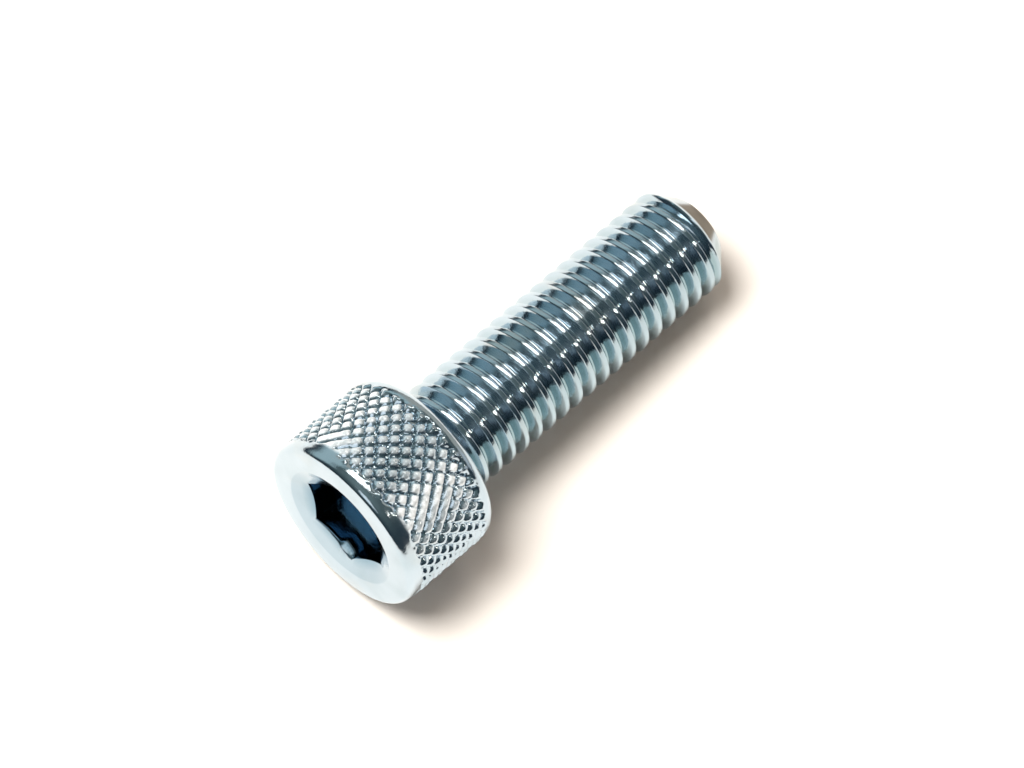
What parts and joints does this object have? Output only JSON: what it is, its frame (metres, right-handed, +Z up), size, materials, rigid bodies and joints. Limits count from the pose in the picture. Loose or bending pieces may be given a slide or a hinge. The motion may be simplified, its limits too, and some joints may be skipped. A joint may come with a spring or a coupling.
{
  "type": "socket head cap screw",
  "caption": "Hexagon socket head cap screw with a diamond-knurled cylindrical head, a fully threaded shank and a chamfered point, lying on its side.",
  "frame": {"origin": "centre of the bearing face under the head, on the screw's axis", "axes": "+Z up, +X along the shank from the head to the point (the axis dips 5.80 degrees below +X because the screw lies on its head and its thread), +Y completes a right-handed frame"},
  "size_m": [0.0337, 0.013, 0.0134],
  "materials": {
    "zinc": "bright blue-passivated zinc plating on steel"
  },
  "bodies": {
    "root": {"screw": "zinc"}
  },
  "joints": []
}
